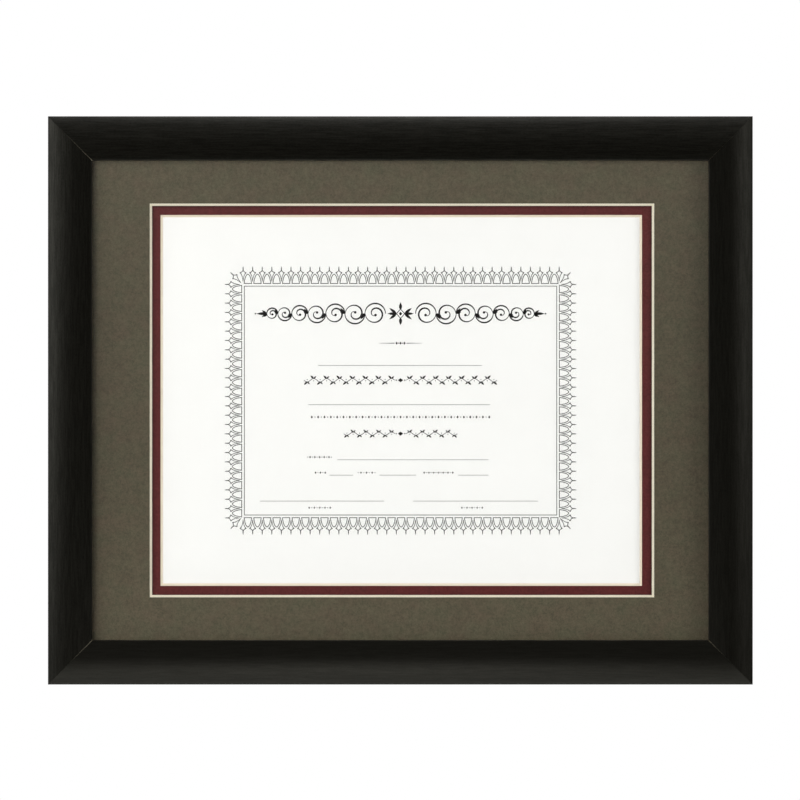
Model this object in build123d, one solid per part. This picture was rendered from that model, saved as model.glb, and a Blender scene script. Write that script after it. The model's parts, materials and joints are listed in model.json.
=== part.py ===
from build123d import *
import os
from math import asin, atan2, cos, degrees, radians, sin, sqrt

# A wooden wall frame that holds an 11 by 8.5 inch certificate behind a double mat.
# Lengths are in millimetres. X runs to the right and Z up, as seen from the front.
# The front faces -Y and the wall is on the +Y side. Y = 0 is the back plane of the rails.
# The origin is where a nail carries the frame: the middle notch of the top hanger.
# Every piece is first modelled about the middle of the frame, and moved up or down at the end.

INCH = 25.4

# The certificate, and how the mats border it. The frame's outer size follows from these.
certificate_width = 11.0 * INCH
certificate_height = 8.5 * INCH
certificate_side_overlap = 6.45
certificate_end_overlap = 5.6
mat_reveal = 6.35
mat_side_border = 36.8
mat_end_border = 29.6
outer_window_shift = 0.9
inner_window_shift = 0.5

# Moulding
moulding_width = 24.95
rabbet_width = 6.35
lip_thickness = 3.0
crown_rise = 0.9
crown_inset = 16.0
outer_shoulder_drop = 6.0
outer_edge_radius = 1.2
lip_edge_radius = 0.8

# Sheets in the rabbet, from the front to the back
glass_thickness = 2.0
mat_thickness = 1.4
bonding_tape_thickness = 0.1
certificate_thickness = 0.2
hinge_tape_thickness = 0.1
filler_thickness = 3.0
backing_thickness = 3.0

sheet_clearance = 0.45
glass_edge_chamfer = 0.3

# Tapes
bonding_tape_width = 12.0
bonding_tape_inset = 8.0
hinge_tape_width = 25.0
hinge_tape_leg = 16.0
hinge_tape_gap = 0.5
hinge_place_share = 0.62

# Corner nails, each a V of steel strip driven across a mitre from the back
v_nail_leg = 4.6
v_nail_strip = 0.6
v_nail_depth = 8.0
v_nail_half_angle = 52.0
v_nail_place_shares = (0.34, 0.66)

# Turn buttons
button_thickness = 1.0
button_pivot_radius = 5.0
button_toe_radius = 3.6
button_reach = 17.5
button_bend_start = 11.5
button_ramp = 3.0
button_toe_lift = 1.1
button_rabbet_inset = 7.4
button_spread_share = 0.56
button_seat_clearance = 0.1
button_bore_clearance = 0.08

# Turn-button screws
screw_radius = 1.6
screw_head_radius = 3.4
screw_head_rim = 0.7
screw_head_dome = 1.1
screw_head_clearance = 0.1
screw_grip = 7.5
screw_point = 2.5
screw_cross_width = 0.9
screw_cross_depth = 1.0
screw_cross_share = 0.62

# Sawtooth hangers and their nails
hanger_length = 45.0
hanger_height = 9.0
hanger_strip = 0.7
hanger_standoff = 1.4
hanger_tab = 6.5
hanger_joggle = 2.5
hanger_corner_radius = 1.5
tooth_depth = 1.8
tooth_pitch = 2.4
tooth_tip = 0.3
nail_radius = 0.65
nail_head_radius = 1.6
nail_head_thickness = 0.5
nail_length = 9.0
nail_point = 1.5
nail_clearance = 0.1

# Rubber bumpers that keep the back off the wall
bumper_radius = 5.0
bumper_face_radius = 4.2
bumper_height = 3.6
bumper_corner_inset = 26.0

# How far a cutting shape runs past the face that it cuts
overrun = 1.0

# The sheets in the rabbet, and how thick each is
SHEETS = [
    ("glass", glass_thickness),
    ("outer_mat", mat_thickness),
    ("bonding_tape", bonding_tape_thickness),
    ("inner_mat", mat_thickness),
    ("certificate", certificate_thickness),
    ("hinge_tape", hinge_tape_thickness),
    ("filler", filler_thickness),
    ("backing", backing_thickness),
]

# Which rail each turn button is on, and which way it lies from the middle along that rail
TURN_BUTTONS = {
    "top_left": ("top", -1),
    "top_right": ("top", 1),
    "bottom_left": ("bottom", 1),
    "bottom_right": ("bottom", -1),
    "left_upper": ("left", 1),
    "left_lower": ("left", -1),
    "right_upper": ("right", -1),
    "right_lower": ("right", 1),
}


def sheet_planes():
    """The two Y planes of each sheet, from the glass to the backing board's back at Y = 0."""
    front = -sum(thickness for _, thickness in SHEETS)
    planes = {}
    for name, thickness in SHEETS:
        planes[name] = (front, front + thickness)
        front += thickness
    return planes


# Sizes that follow from the ones above
planes = sheet_planes()
rabbet_depth = -planes["glass"][0]
lip_height = rabbet_depth + lip_thickness
crown_height = lip_height + crown_rise
shoulder_height = crown_height - outer_shoulder_drop
rail_back_width = moulding_width - rabbet_width
inner_window_width = certificate_width + 2 * (mat_thickness - certificate_side_overlap)
inner_window_height = certificate_height + 2 * (mat_thickness - certificate_end_overlap)
outer_window_width = inner_window_width + 2 * mat_reveal
outer_window_height = inner_window_height + 2 * mat_reveal
sheet_width = outer_window_width + 2 * mat_side_border
sheet_height = outer_window_height + 2 * mat_end_border
frame_width = sheet_width + 2 * (sheet_clearance + rail_back_width)
frame_height = sheet_height + 2 * (sheet_clearance + rail_back_width)
button_inset = rail_back_width - button_rabbet_inset
hanger_inset = rail_back_width / 2
nail_seat_inset = hanger_inset + hanger_height / 2 - tooth_depth
frame_middle = nail_seat_inset - frame_height / 2

# Each side: how far its rail turns about Y from the top one, the middle of its outer edge, its length
SIDES = {
    "top": (0, (0, frame_height / 2), frame_width),
    "bottom": (180, (0, -frame_height / 2), frame_width),
    "left": (-90, (-frame_width / 2, 0), frame_height),
    "right": (90, (frame_width / 2, 0), frame_height),
}


def on_side(side, along, inset):
    """Turns and moves what was modelled about the origin to a place on one rail's back.

    Along is measured from the rail's middle, to the right on the top rail, and inset from its
    outer edge towards the middle of the frame. What pointed up then points away from the middle.
    """
    turn, (x, z), _ = SIDES[side]
    return Pos(x, 0, z) * Rot(0, turn, 0) * Pos(along, 0, -inset)


def face_inside(outline):
    """The flat face inside lines and arcs that join end to end."""
    return Face(Wire([edge for piece in outline for edge in piece.edges()]))


def flat_face(points):
    """A flat face from its corners in order."""
    return face_inside([Polyline(points, close=True)])


def prism_along_y(outline, y_from, y_to):
    """Extrudes an outline of (x, z) corners from one Y plane to another."""
    face = flat_face([(x, y_from, z) for x, z in outline])
    return Solid.extrude(face, Vector(0, y_to - y_from, 0))


def prism_along_x(outline, length):
    """Extrudes an outline of (y, z) corners along X, half each way."""
    face = flat_face([(-length / 2, y, z) for y, z in outline])
    return Solid.extrude(face, Vector(length, 0, 0))


def prism_along_z(outline, height):
    """Extrudes an outline of (x, y) corners along Z, half each way."""
    face = flat_face([(x, y, -height / 2) for x, y in outline])
    return Solid.extrude(face, Vector(0, 0, height))


def plate(x_size, z_size, y_planes):
    """A flat rectangular sheet centred in X and Z between two Y planes."""
    y_from, y_to = y_planes
    return Pos(0, (y_from + y_to) / 2, 0) * Box(x_size, y_to - y_from, z_size)


def rod(radius, y_from, y_to):
    """A cylinder about the Y axis between two planes."""
    return Pos(0, (y_from + y_to) / 2, 0) * Rot(90, 0, 0) * Cylinder(radius, y_to - y_from)


def turned(outline):
    """Revolves lines and arcs in the XY plane, which close with the Y axis, about that axis."""
    return revolve(face_inside(outline), Axis.Y, 360)


def crown_arc(from_inset, to_inset, drop, height_from_crown):
    """An arc of the moulding's face, level at the crown and lower by drop at its far end.

    Insets are measured inwards from the outer edge, and the points are (0, y, z).
    """
    run = max(abs(from_inset - crown_inset), abs(to_inset - crown_inset))
    radius = (run**2 + drop**2) / (2 * drop)

    def point(inset):
        sag = radius - sqrt(radius**2 - (inset - crown_inset) ** 2)
        return (0, sag - height_from_crown, -inset)

    return ThreePointArc(point(from_inset), point((from_inset + to_inset) / 2), point(to_inset))


def moulding_section():
    """The moulding's cross-section: a domed face, a low lip, and the rabbet behind the lip."""
    outline = [
        Line((0, 0, 0), (0, -shoulder_height, 0)),
        crown_arc(0, crown_inset, outer_shoulder_drop, crown_height),
        crown_arc(crown_inset, moulding_width, crown_rise, crown_height),
        Polyline(
            (0, -lip_height, -moulding_width),
            (0, -rabbet_depth, -moulding_width),
            (0, -rabbet_depth, -rail_back_width),
            (0, 0, -rail_back_width),
            (0, 0, 0),
        ),
    ]
    return face_inside(outline)


def round_edge(bar, corner, radius):
    """Rounds the edge of a bar along X that passes through a corner of its section."""
    along_x = bar.edges().filter_by(Axis.X)
    return bar.fillet(radius, [along_x.sort_by_distance(corner)[0]])


def mitred_bar(length):
    """One rail as it lies at the top, with its outer edge at Z = 0 and its ends cut at 45 degrees."""
    section = moulding_section().moved(Location((-length / 2, 0, 0)))
    bar = Solid.extrude(section, Vector(length, 0, 0))
    bar = round_edge(bar, (0, -shoulder_height, 0), outer_edge_radius)
    bar = round_edge(bar, (0, -lip_height, -moulding_width), lip_edge_radius)
    outer_half = length / 2 + overrun
    inner_half = length / 2 - moulding_width - overrun
    between_mitres = [
        (-outer_half, overrun),
        (outer_half, overrun),
        (inner_half, -moulding_width - overrun),
        (-inner_half, -moulding_width - overrun),
    ]
    return bar & prism_along_y(between_mitres, -crown_height - overrun, overrun)


def corner_v_nail():
    """A V of strip that opens towards +X, flush with the back plane."""
    half_angle = radians(v_nail_half_angle)
    half_strip = v_nail_strip / 2
    nose = half_strip / sin(half_angle)
    leg_x = v_nail_leg * cos(half_angle)
    leg_z = v_nail_leg * sin(half_angle)
    side_x = half_strip * sin(half_angle)
    side_z = half_strip * cos(half_angle)
    outline = [
        (-nose, 0),
        (leg_x - side_x, leg_z + side_z),
        (leg_x + side_x, leg_z - side_z),
        (nose, 0),
        (leg_x + side_x, side_z - leg_z),
        (leg_x - side_x, -leg_z - side_z),
    ]
    return prism_along_y(outline, -v_nail_depth, 0)


def corner_v_nails():
    """Two V-nails on each mitre, with their noses towards the frame's outer corner."""
    nails = []
    for side_x in (-1, 1):
        for side_z in (-1, 1):
            inward = degrees(atan2(side_z, -side_x))
            for share in v_nail_place_shares:
                x = side_x * (frame_width / 2 - share * rail_back_width)
                z = side_z * (frame_height / 2 - share * rail_back_width)
                nails.append(Pos(x, 0, z) * Rot(0, inward, 0) * corner_v_nail())
    return nails


def glass_pane():
    """The glazing, with its front and back edges ground off."""
    pane = plate(sheet_width, sheet_height, planes["glass"])
    edges = pane.faces().sort_by(Axis.Y)[0].edges() + pane.faces().sort_by(Axis.Y)[-1].edges()
    return chamfer(edges, glass_edge_chamfer)


def window_cutter(width, height, y_planes):
    """The space inside a 45 degree bevelled window that is width by height at its front."""
    y_front, y_back = y_planes

    def ring(y):
        half_x = width / 2 + y_front - y
        half_z = height / 2 + y_front - y
        corners = [(-half_x, y, -half_z), (half_x, y, -half_z), (half_x, y, half_z), (-half_x, y, half_z)]
        return Wire(Polyline(corners, close=True).edges())

    return Solid.make_loft([ring(y_front - overrun), ring(y_back + overrun)], ruled=True)


def mat(name, window_width, window_height, window_shift):
    """A mat board with a bevelled window that lies a little off the middle."""
    board = plate(sheet_width, sheet_height, planes[name])
    return board - Pos(window_shift, 0, 0) * window_cutter(window_width, window_height, planes[name])


def bonding_tapes():
    """A strip of double-sided tape along each side of the outer mat's window, behind it."""
    off_middle_z = outer_window_height / 2 + bonding_tape_inset + bonding_tape_width / 2
    off_middle_x = outer_window_width / 2 + bonding_tape_inset + bonding_tape_width / 2
    level = plate(outer_window_width, bonding_tape_width, planes["bonding_tape"])
    upright = plate(bonding_tape_width, outer_window_height, planes["bonding_tape"])
    strips = [Pos(outer_window_shift, 0, way * off_middle_z) * level for way in (-1, 1)]
    strips += [Pos(outer_window_shift + way * off_middle_x, 0, 0) * upright for way in (-1, 1)]
    return strips


def hinge_tapes():
    """Two tapes on the certificate's back that step forward onto the inner mat above it."""
    certificate_back = planes["hinge_tape"][0]
    mat_back = planes["inner_mat"][1]
    edge = certificate_height / 2
    step = edge + hinge_tape_gap
    outline = [
        (certificate_back, edge - hinge_tape_leg),
        (certificate_back, step),
        (mat_back, step),
        (mat_back, step + hinge_tape_leg),
        (mat_back + hinge_tape_thickness, step + hinge_tape_leg),
        (mat_back + hinge_tape_thickness, step + hinge_tape_thickness),
        (certificate_back + hinge_tape_thickness, step + hinge_tape_thickness),
        (certificate_back + hinge_tape_thickness, edge - hinge_tape_leg),
    ]
    tape = prism_along_x(outline, hinge_tape_width)
    return [Pos(way * hinge_place_share * certificate_width / 2, 0, 0) * tape for way in (-1, 1)]


def button_plate():
    """A turn button about its pivot, with its toe pointing down and the tip bent up to grip."""
    seat = button_seat_clearance
    toe_end = button_reach + button_toe_radius
    ramp_end = button_bend_start + button_ramp
    lean = asin((button_pivot_radius - button_toe_radius) / button_reach)
    tip = (0, -toe_end)

    def tangent_point(centre_z, radius, way):
        return (way * radius * cos(lean), centre_z - radius * sin(lean))

    outline = [
        ThreePointArc(
            tangent_point(0, button_pivot_radius, -1),
            (0, button_pivot_radius),
            tangent_point(0, button_pivot_radius, 1),
        ),
        Line(
            tangent_point(0, button_pivot_radius, 1),
            tangent_point(-button_reach, button_toe_radius, 1),
        ),
        ThreePointArc(
            tangent_point(-button_reach, button_toe_radius, 1),
            tip,
            tangent_point(-button_reach, button_toe_radius, -1),
        ),
        Line(
            tangent_point(-button_reach, button_toe_radius, -1),
            tangent_point(0, button_pivot_radius, -1),
        ),
    ]
    blank_top = seat + button_toe_lift + button_thickness + overrun
    blank = Rot(90, 0, 0) * Solid.extrude(face_inside(outline), Vector(0, 0, -blank_top))
    underside = [
        (seat, button_pivot_radius + overrun),
        (seat, -button_bend_start),
        (seat + button_toe_lift, -ramp_end),
        (seat + button_toe_lift, -toe_end - overrun),
    ]
    topside = [(y + button_thickness, z) for y, z in reversed(underside)]
    bent_strip = prism_along_x(underside + topside, 2 * (button_pivot_radius + overrun))
    bore = rod(screw_radius + button_bore_clearance, -overrun, blank_top)
    return (blank & bent_strip) - bore


def button_screw():
    """A pan-head wood screw about the Y axis, with its head over a turn button."""
    head_base = button_seat_clearance + button_thickness + screw_head_clearance
    head_rim = head_base + screw_head_rim
    head_top = head_rim + screw_head_dome
    sphere_radius = (screw_head_radius**2 + screw_head_dome**2) / (2 * screw_head_dome)
    half_x = screw_head_radius / 2
    half_y = head_top - sphere_radius + sqrt(sphere_radius**2 - half_x**2)
    screw = turned(
        [
            Polyline(
                (0, head_top),
                (0, -screw_grip - screw_point),
                (screw_radius, -screw_grip),
                (screw_radius, head_base),
                (screw_head_radius, head_base),
                (screw_head_radius, head_rim),
            ),
            ThreePointArc((screw_head_radius, head_rim), (half_x, half_y), (0, head_top)),
        ]
    )
    cross_length = screw_cross_share * 2 * screw_head_radius
    cross_planes = (head_top - screw_cross_depth, head_top + overrun)
    level_slot = plate(cross_length, screw_cross_width, cross_planes)
    upright_slot = plate(screw_cross_width, cross_length, cross_planes)
    return screw - level_slot - upright_slot


def sawtooth_hanger():
    """A strip raised between its two nailed tabs, with notches along its lower edge."""
    half = hanger_length / 2
    tab_end = half - hanger_tab
    raised_half = tab_end - hanger_joggle
    underside = [
        (-half, 0),
        (-tab_end, 0),
        (-raised_half, hanger_standoff),
        (raised_half, hanger_standoff),
        (tab_end, 0),
        (half, 0),
    ]
    topside = [(x, y + hanger_strip) for x, y in reversed(underside)]
    strip = prism_along_z(underside + topside, hanger_height)
    ends = strip.edges().filter_by(Axis.Y).group_by(SortBy.DISTANCE)[-1]
    strip = strip.fillet(hanger_corner_radius, ends)

    top = hanger_standoff + hanger_strip
    for way in (-1, 1):
        hole = rod(nail_radius + nail_clearance, -overrun, top)
        strip -= Pos(way * (half - hanger_tab / 2), 0, 0) * hole

    edge = -hanger_height / 2
    notch_half = (tooth_pitch - tooth_tip) / 2
    notch = prism_along_y(
        [
            (-notch_half, edge - overrun),
            (-notch_half, edge),
            (0, edge + tooth_depth),
            (notch_half, edge),
            (notch_half, edge - overrun),
        ],
        hanger_standoff - overrun,
        top + overrun,
    )
    notches_each_way = int((raised_half - notch_half) // tooth_pitch)
    for step in range(-notches_each_way, notches_each_way + 1):
        strip -= Pos(step * tooth_pitch, 0, 0) * notch
    return strip


def hanger_nails():
    """The two nails of one hanger, about the hanger's middle."""
    head_top = hanger_strip + nail_head_thickness
    tip = hanger_strip - nail_length
    nail = turned(
        [
            Polyline(
                (0, head_top),
                (0, tip),
                (nail_radius, tip + nail_point),
                (nail_radius, hanger_strip),
                (nail_head_radius, hanger_strip),
                (nail_head_radius, head_top),
                (0, head_top),
            )
        ]
    )
    return [Pos(way * (hanger_length - hanger_tab) / 2, 0, 0) * nail for way in (-1, 1)]


def wall_bumper():
    """A soft stud that narrows a little from its base on the rail to its face on the wall."""
    return turned(
        [
            Polyline(
                (0, 0),
                (bumper_radius, 0),
                (bumper_face_radius, bumper_height),
                (0, bumper_height),
                (0, 0),
            )
        ]
    )


def wall_bumpers():
    """One bumper near each corner, on the top and bottom rails."""
    along = frame_width / 2 - bumper_corner_inset
    return [
        on_side(side, way * along, rail_back_width / 2) * wall_bumper()
        for side in ("top", "bottom")
        for way in (-1, 1)
    ]


def button_place(name):
    """Where a turn button's pivot is on its rail."""
    side, way = TURN_BUTTONS[name]
    half_length = SIDES[side][2] / 2
    return on_side(side, way * button_spread_share * half_length, button_inset)


def moulding(side, fasteners):
    """One rail, with a hole for each fastener that enters it."""
    bar = on_side(side, 0, 0) * mitred_bar(SIDES[side][2])
    box = bar.bounding_box()
    for fastener in fasteners:
        if box.overlaps(fastener.bounding_box()):
            bar -= fastener
    return bar


def all_parts():
    """Every piece by name, about the middle of the frame. A list is a group of like pieces."""
    v_nails = corner_v_nails()
    screws = [button_place(name) * button_screw() for name in TURN_BUTTONS]
    nails = [on_side(side, 0, hanger_inset) * nail for side in ("top", "left") for nail in hanger_nails()]
    fasteners = v_nails + screws + nails

    parts = {"moulding_" + side: moulding(side, fasteners) for side in SIDES}
    parts["corner_v_nails"] = v_nails
    parts["glass_pane"] = glass_pane()
    parts["outer_mat"] = mat("outer_mat", outer_window_width, outer_window_height, outer_window_shift)
    parts["mat_bonding_tape"] = bonding_tapes()
    parts["inner_mat"] = mat("inner_mat", inner_window_width, inner_window_height, inner_window_shift)
    parts["certificate_sheet"] = plate(certificate_width, certificate_height, planes["certificate"])
    parts["certificate_hinge_tapes"] = hinge_tapes()
    parts["filler_board"] = plate(sheet_width, sheet_height, planes["filler"])
    parts["backing_board"] = plate(sheet_width, sheet_height, planes["backing"])
    for name in TURN_BUTTONS:
        parts["turn_button_" + name] = button_place(name) * button_plate()
    parts["turn_button_screws"] = screws
    parts["sawtooth_hanger_top"] = on_side("top", 0, hanger_inset) * sawtooth_hanger()
    parts["sawtooth_hanger_side"] = on_side("left", 0, hanger_inset) * sawtooth_hanger()
    parts["hanger_nails"] = nails
    parts["wall_bumpers"] = wall_bumpers()
    return parts


def write_parts():
    """Moves every piece so that the nail seat is the origin, and writes one STEP file for each."""
    os.makedirs("parts", exist_ok=True)
    to_nail_seat = Pos(0, 0, frame_middle)
    for name, piece in all_parts().items():
        pieces = piece if isinstance(piece, list) else [piece]
        solids = [solid for one in pieces for solid in (to_nail_seat * one).solids()]
        shape = solids[0] if len(solids) == 1 else Compound(solids)
        export_step(shape, os.path.join("parts", name + ".step"))
    for name in TURN_BUTTONS:
        print("pivot", name, (to_nail_seat * button_place(name)).position)
    print("crown height", crown_height, "rabbet depth", rabbet_depth, "frame middle", frame_middle)


write_parts()
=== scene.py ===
import json
from math import atan2, cos, hypot, pi, radians, sin, sqrt

import bmesh
import bpy
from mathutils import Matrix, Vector

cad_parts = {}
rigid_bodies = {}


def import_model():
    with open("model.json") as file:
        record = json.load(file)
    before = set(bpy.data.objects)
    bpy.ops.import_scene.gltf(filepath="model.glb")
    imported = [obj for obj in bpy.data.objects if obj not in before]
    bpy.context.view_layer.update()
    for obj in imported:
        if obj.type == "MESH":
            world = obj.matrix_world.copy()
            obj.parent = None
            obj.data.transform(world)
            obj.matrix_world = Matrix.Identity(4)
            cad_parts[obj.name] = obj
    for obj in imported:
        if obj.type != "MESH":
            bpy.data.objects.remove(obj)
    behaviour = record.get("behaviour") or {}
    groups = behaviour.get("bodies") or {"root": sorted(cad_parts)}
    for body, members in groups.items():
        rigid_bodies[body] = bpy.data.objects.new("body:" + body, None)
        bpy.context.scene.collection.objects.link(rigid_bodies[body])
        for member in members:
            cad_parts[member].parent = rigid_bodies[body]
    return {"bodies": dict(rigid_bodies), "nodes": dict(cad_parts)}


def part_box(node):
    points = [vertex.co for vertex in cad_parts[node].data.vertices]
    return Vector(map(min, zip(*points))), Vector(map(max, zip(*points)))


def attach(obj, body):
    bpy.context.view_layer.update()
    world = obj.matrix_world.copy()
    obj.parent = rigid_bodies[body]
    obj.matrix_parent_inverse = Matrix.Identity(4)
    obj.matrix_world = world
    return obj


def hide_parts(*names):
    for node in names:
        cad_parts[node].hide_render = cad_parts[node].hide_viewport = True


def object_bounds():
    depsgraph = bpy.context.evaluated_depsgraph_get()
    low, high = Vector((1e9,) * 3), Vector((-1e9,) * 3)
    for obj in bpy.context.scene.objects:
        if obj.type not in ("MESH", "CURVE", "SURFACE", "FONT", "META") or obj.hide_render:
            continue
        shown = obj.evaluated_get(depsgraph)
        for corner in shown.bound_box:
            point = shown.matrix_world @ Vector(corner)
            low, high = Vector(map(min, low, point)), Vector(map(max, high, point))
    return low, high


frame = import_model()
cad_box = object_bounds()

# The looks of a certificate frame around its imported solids.
# Everything is in metres, in the frame of the solids: X to the right, Z up, the front towards -Y.
MM = 0.001
scene = bpy.context.scene

# Moulding section, as insets from its outer edge and heights in front of its back plane
moulding_width = 24.95 * MM
rabbet_width = 6.35 * MM
lip_thickness = 3.0 * MM
crown_rise = 0.9 * MM
crown_inset = 16.0 * MM
outer_shoulder_drop = 6.0 * MM
outer_edge_radius = 1.2 * MM
lip_edge_radius = 0.8 * MM
back_edge_radius = 0.3 * MM

# Mats. A cut edge is rounded over by its round across the board and by its reach along the face
mat_thickness = 1.4 * MM
mat_reveal = 6.35 * MM
certificate_side_overlap = 6.45 * MM
certificate_end_overlap = 5.6 * MM
outer_window_shift = 0.9 * MM
inner_window_shift = 0.5 * MM
face_paper_thickness = 0.12 * MM
cut_edge_round = 0.06 * MM
cut_edge_reach = 0.024 * MM
cut_edge_steps = 3
mat_set_back = 0.03 * MM

# Places that follow from the solids
frame_low, frame_high = cad_box
frame_width = frame_high.x - frame_low.x
frame_height = frame_high.z - frame_low.z
frame_centre = Vector((0, 0, (frame_low.z + frame_high.z) / 2))
glass_low, glass_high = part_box("glass_pane")
certificate_low, certificate_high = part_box("certificate_sheet")
rabbet_depth = -glass_low.y
lip_height = rabbet_depth + lip_thickness
crown_height = lip_height + crown_rise
shoulder_height = crown_height - outer_shoulder_drop
rail_back_width = moulding_width - rabbet_width
inner_window = (
    certificate_high.x - certificate_low.x + 2 * (mat_thickness - certificate_side_overlap),
    certificate_high.z - certificate_low.z + 2 * (mat_thickness - certificate_end_overlap),
)
outer_window = (inner_window[0] + 2 * mat_reveal, inner_window[1] + 2 * mat_reveal)

# Each side: the directions along its rail and away from the middle, the rail's length, and how far
# the rail's outer edge is from the middle
SIDES = {
    "top": (Vector((1, 0, 0)), Vector((0, 0, 1)), frame_width, frame_height / 2),
    "right": (Vector((0, 0, -1)), Vector((1, 0, 0)), frame_height, frame_width / 2),
    "bottom": (Vector((-1, 0, 0)), Vector((0, 0, -1)), frame_width, frame_height / 2),
    "left": (Vector((0, 0, 1)), Vector((-1, 0, 0)), frame_height, frame_width / 2),
}

# The four corners of a rectangle, in turn
CORNERS = ((-1, -1), (1, -1), (1, 1), (-1, 1))

# Where a Mix node keeps its factor and its two colours, and its mixed colour
MIX_COLOUR_INPUTS = (0, 6, 7)
MIX_COLOUR_OUTPUT = 2


# Node graphs

class Graph:
    """Builds the nodes of a material or the world. Most methods return a node's output socket."""

    def __init__(self, name, owners=bpy.data.materials, output="ShaderNodeOutputMaterial"):
        self.owner = owners.new(name)
        self.owner.use_nodes = True
        self.tree = self.owner.node_tree
        self.tree.nodes.clear()
        self.surface = self.tree.nodes.new(output).inputs["Surface"]

    def put(self, socket, value):
        """Links a socket to an output, or sets its plain value."""
        if isinstance(value, bpy.types.NodeSocket):
            self.tree.links.new(value, socket)
        elif isinstance(value, (tuple, list)) and len(value) == 3 and socket.type == "RGBA":
            socket.default_value = (*value, 1)
        else:
            socket.default_value = value

    def node(self, kind, **inputs):
        """Adds a node and sets its inputs by name, with underscores for spaces."""
        node = self.tree.nodes.new(kind)
        for name, value in inputs.items():
            self.put(node.inputs[name.replace("_", " ")], value)
        return node

    def place(self, scale=(1, 1, 1), shift=(0, 0, 0), uv=None):
        """Object coordinates, or those of a UV map, scaled and shifted."""
        if uv is None:
            source = self.node("ShaderNodeTexCoord").outputs["Object"]
        else:
            uv_node = self.node("ShaderNodeUVMap")
            uv_node.uv_map = uv
            source = uv_node.outputs["UV"]
        return self.node("ShaderNodeMapping", Vector=source, Scale=scale, Location=shift).outputs["Vector"]

    def parts(self, vector):
        """The X, Y and Z of a vector, by name."""
        return self.node("ShaderNodeSeparateXYZ", Vector=vector).outputs

    def noise(self, scale, detail=3.0, roughness=0.5, distortion=0.0, uv=None):
        """Noise as fine as scale says, which is one number or one along each axis."""
        if not isinstance(scale, tuple):
            scale = (scale, scale, scale)
        node = self.node(
            "ShaderNodeTexNoise",
            Vector=self.place(scale, uv=uv),
            Scale=1.0,
            Detail=detail,
            Roughness=roughness,
            Distortion=distortion,
        )
        return node.outputs["Fac"]

    def bands(self, scales, weights, uv=None):
        """A weighted sum of plain noises at several scales, as a share that is about 0.5."""
        total = None
        for scale, weight in zip(scales, weights):
            band = self.maths("MULTIPLY", self.noise(scale, detail=0.0, uv=uv), weight)
            total = band if total is None else self.maths("ADD", total, band)
        middle = sum(weights) / 2
        return self.spread(total, middle - 0.5, middle + 0.5)

    def spread(self, value, low=0.3, high=0.7, to_low=0.0, to_high=1.0):
        """Maps a range of a value, or most of the range of noise, to another range, clamped."""
        node = self.node(
            "ShaderNodeMapRange", Value=value, From_Min=low, From_Max=high, To_Min=to_low, To_Max=to_high
        )
        return node.outputs["Result"]

    def maths(self, operation, first, second=0.0):
        node = self.node("ShaderNodeMath")
        node.operation = operation
        self.put(node.inputs[0], first)
        self.put(node.inputs[1], second)
        return node.outputs["Value"]

    def vector_maths(self, operation, first, second=(0, 0, 0)):
        node = self.node("ShaderNodeVectorMath")
        node.operation = operation
        self.put(node.inputs[0], first)
        self.put(node.inputs[1], second)
        return node

    def blend(self, share, first, second):
        """Mixes two colours."""
        node = self.node("ShaderNodeMix")
        node.data_type = "RGBA"
        for number, value in zip(MIX_COLOUR_INPUTS, (share, first, second)):
            self.put(node.inputs[number], value)
        return node.outputs[MIX_COLOUR_OUTPUT]

    def shade(self, colour, low, high, share):
        """A colour that is multiplied by low where a share is 0 and by high where it is 1."""
        node = self.vector_maths("SCALE", colour)
        self.put(node.inputs["Scale"], self.spread(share, 0.0, 1.0, low, high))
        return node.outputs["Vector"]

    def bump(self, height, distance, strength):
        node = self.node("ShaderNodeBump", Height=height, Distance=distance, Strength=strength)
        return node.outputs["Normal"]

    def mixed(self, share, first, second):
        """Mixes two shaders."""
        node = self.node("ShaderNodeMixShader")
        for socket, value in zip(node.inputs, (share, first, second)):
            self.put(socket, value)
        return node.outputs["Shader"]

    def principled(self, **inputs):
        """Ends the graph in a Principled shader."""
        return self.ended(self.node("ShaderNodeBsdfPrincipled", **inputs).outputs["BSDF"])

    def ended(self, shader):
        self.put(self.surface, shader)
        return self.owner


def times(colour, factor):
    return tuple(channel * factor for channel in colour)


# Materials

def lacquered_grain(g, scales, weights):
    """The grain under a lacquer, as a share that is about 0.5, and how far its pores are open."""
    grain = g.bands(scales, weights, uv="grain")
    pores = g.noise((240, 3200, 1), detail=1.0, uv="grain")
    return grain, g.spread(pores, 0.60, 0.70)


def black_lacquer(name, depth):
    """Satin black lacquer over wood whose fine open grain still shows, more or less by depth."""
    g = Graph(name)
    scales = ((30, 380, 1), (60, 800, 1), (110, 1500, 1), (700, 1700, 1))
    grain, open_pores = lacquered_grain(g, scales, (0.55, 0.8, 1.0, 0.7))
    glint = g.spread(grain, 0.15, 0.85, 0.3025 - 0.0675 * depth, 0.3025 + 0.0675 * depth)
    dulled = g.spread(open_pores, 0.0, 1.0, 1.0, 1 - 0.18 * depth)
    height = g.maths("SUBTRACT", g.spread(grain, 0.0, 1.0, 0.0, 0.5), open_pores)
    return g.principled(
        Base_Color=g.shade((0.0013, 0.0011, 0.0006), 1 - 0.14 * depth, 1 + 0.14 * depth, grain),
        Roughness=g.spread(grain, 0.2, 0.8, 0.45 + 0.02 * depth, 0.45 - 0.02 * depth),
        Specular_IOR_Level=g.maths("MULTIPLY", glint, dulled),
        Specular_Tint=(1.0, 0.98, 0.84),
        Normal=g.bump(height, 0.02 * MM, 0.2 * depth),
    )


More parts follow.
